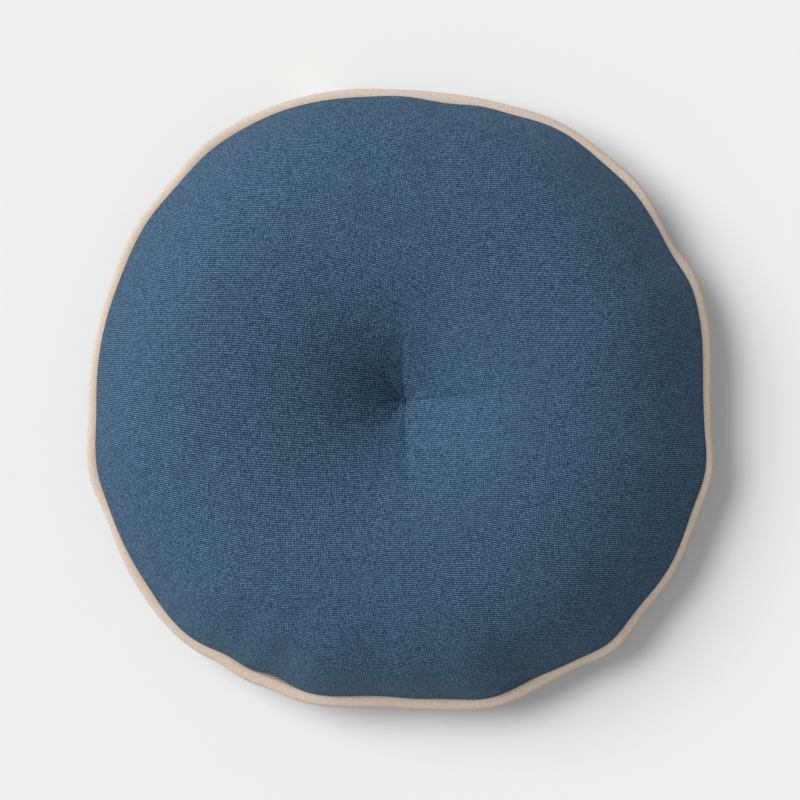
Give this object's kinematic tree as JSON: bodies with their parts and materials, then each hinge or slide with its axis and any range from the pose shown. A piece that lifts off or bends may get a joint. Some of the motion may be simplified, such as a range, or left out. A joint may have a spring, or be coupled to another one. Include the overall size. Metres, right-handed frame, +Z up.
{
  "type": "seat cushion",
  "caption": "Round knife-edge seat cushion in blue woven canvas with a beige piped seam, fibre filling and one deep central tuft.",
  "frame": {"origin": "on the floor, under the middle of the cushion, at the bottom centre of its box", "axes": "+Z up through the tuft, from the resting face to the crown; the closing stitches and the label are towards +Y, the back"},
  "size_m": [0.457, 0.457, 0.104],
  "materials": {
    "panel_canvas": "plain-woven heathered canvas, matt",
    "piping_fabric": "fine plain-woven cotton cut on the bias, matt",
    "piping_cord": "soft twisted cotton filler cord",
    "sewing_thread": "spun polyester thread",
    "polyester_fibre": "loose white hollow fibre",
    "tuft_twine": "waxed twisted twine",
    "label_satin": "blank woven satin ribbon"
  },
  "bodies": {
    "root": {"top_panel": "panel_canvas", "bottom_panel": "panel_canvas", "piping_cover": "piping_fabric", "piping_cord": "piping_cord", "seam_needle_thread": "sewing_thread", "seam_bobbin_thread": "sewing_thread", "fibre_fill": "polyester_fibre", "tuft_twine": "tuft_twine", "closing_thread": "sewing_thread", "care_label": "label_satin"}
  },
  "joints": []
}
